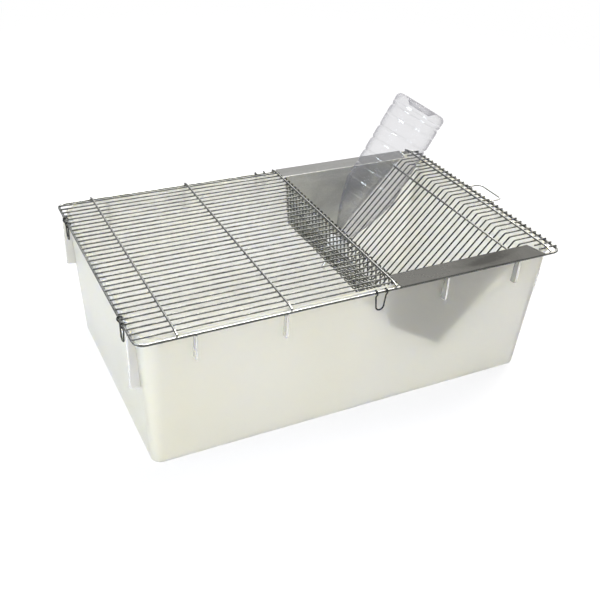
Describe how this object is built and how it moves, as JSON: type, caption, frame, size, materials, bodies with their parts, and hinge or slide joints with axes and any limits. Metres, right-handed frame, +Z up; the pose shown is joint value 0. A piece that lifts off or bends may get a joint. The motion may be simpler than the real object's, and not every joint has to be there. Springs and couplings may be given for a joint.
{
  "type": "rodent breeding box",
  "caption": "Drafted plastic tub with a lift-off welded wire lid, a V-shaped feed hopper with sheet-metal ends, swinging wire clips and a drinking bottle standing mouth down.",
  "frame": {"origin": "middle of the tub's flat base", "axes": "+X along the long side towards the hopper's end shelf, +Y from front to back, +Z up"},
  "size_m": [0.612, 0.3708, 0.3207],
  "materials": {
    "tub_plastic": "translucent natural, satin",
    "lid_wire": "galvanised wire",
    "clip_wire": "galvanised wire",
    "plate_sheet": "galvanised sheet",
    "bottle_plastic": "clear",
    "cap_plastic": "satin",
    "seal_rubber": "matte",
    "nozzle_steel": "polished"
  },
  "bodies": {
    "tub": {"tub": "tub_plastic"},
    "lid": {"back_end_plate": "plate_sheet", "end_loop": "lid_wire", "end_rung": "lid_wire", "floor_wire": "lid_wire", "front_end_plate": "plate_sheet", "front_rung": "lid_wire", "hopper_bar_03": "lid_wire", "hopper_bar_04": "lid_wire", "hopper_bar_05": "lid_wire", "hopper_bar_06": "lid_wire", "hopper_bar_07": "lid_wire", "hopper_bar_08": "lid_wire", "hopper_bar_09": "lid_wire", "hopper_bar_10": "lid_wire", "hopper_bar_11": "lid_wire", "hopper_bar_12": "lid_wire", "hopper_bar_13": "lid_wire", "hopper_bar_14": "lid_wire", "hopper_bar_15": "lid_wire", "hopper_bar_16": "lid_wire", "hopper_bar_17": "lid_wire", "hopper_bar_18": "lid_wire", "hopper_bar_19": "lid_wire", "hopper_bar_20": "lid_wire", "hopper_bar_21": "lid_wire", "hopper_bar_22": "lid_wire", "hopper_bar_23": "lid_wire", "hopper_bar_24": "lid_wire", "hopper_bar_25": "lid_wire", "hopper_bar_26": "lid_wire", "hopper_bar_27": "lid_wire", "hopper_bar_28": "lid_wire", "hopper_bar_29": "lid_wire", "hopper_bar_30": "lid_wire", "hopper_bar_31": "lid_wire", "hopper_edge_wire": "lid_wire", "lid_frame": "lid_wire", "middle_rung": "lid_wire", "side_bar_01_left": "lid_wire", "side_bar_01_right": "lid_wire", "side_bar_02_left": "lid_wire", "side_bar_02_right": "lid_wire", "side_bar_32_left": "lid_wire", "side_bar_32_right": "lid_wire", "side_bar_33_left": "lid_wire", "side_bar_33_right": "lid_wire", "slope_wire": "lid_wire", "wall_wire": "lid_wire"},
    "front_clip": {"front_clip": "clip_wire"},
    "back_clip": {"back_clip": "clip_wire"},
    "left_front_clip": {"left_front_clip": "clip_wire"},
    "left_back_clip": {"left_back_clip": "clip_wire"},
    "bottle": {"bottle": "bottle_plastic"},
    "cap": {"bottle_cap": "cap_plastic", "cap_seal": "seal_rubber", "drinking_tube": "nozzle_steel"},
    "ball": {"valve_ball": "nozzle_steel"}
  },
  "joints": [
    {"name": "lid_lift", "type": "slide", "parent": "tub", "child": "lid", "axis": [0, 0, 1], "range_m": [0, 0.16]},
    {"name": "front_clip_swing", "type": "hinge", "parent": "lid", "child": "front_clip", "pos_m": [0.013, -0.18125, 0.196], "axis": [-1, 0, 0], "range_deg": [-5, 170]},
    {"name": "back_clip_swing", "type": "hinge", "parent": "lid", "child": "back_clip", "pos_m": [0.013, 0.18125, 0.196], "axis": [1, 0, 0], "range_deg": [-5, 170]},
    {"name": "left_front_clip_swing", "type": "hinge", "parent": "lid", "child": "left_front_clip", "pos_m": [-0.29325, -0.12794, 0.196], "axis": [0, 1, 0], "range_deg": [-5, 170]},
    {"name": "left_back_clip_swing", "type": "hinge", "parent": "lid", "child": "left_back_clip", "pos_m": [-0.29325, 0.12794, 0.196], "axis": [0, 1, 0], "range_deg": [-5, 170]},
    {"name": "bottle_lift", "type": "slide", "parent": "lid", "child": "bottle", "axis": [0.513, 0, 0.8584], "range_m": [0, 0.2]},
    {"name": "cap_turn", "type": "hinge", "parent": "bottle", "child": "cap", "pos_m": [0.11739, 0.11195, 0.08587], "axis": [0.513, 0, 0.8584], "continuous": true},
    {"name": "ball_lift", "type": "slide", "parent": "cap", "child": "ball", "axis": [0.513, 0, 0.8584], "range_m": [0, 0.0015]}
  ]
}
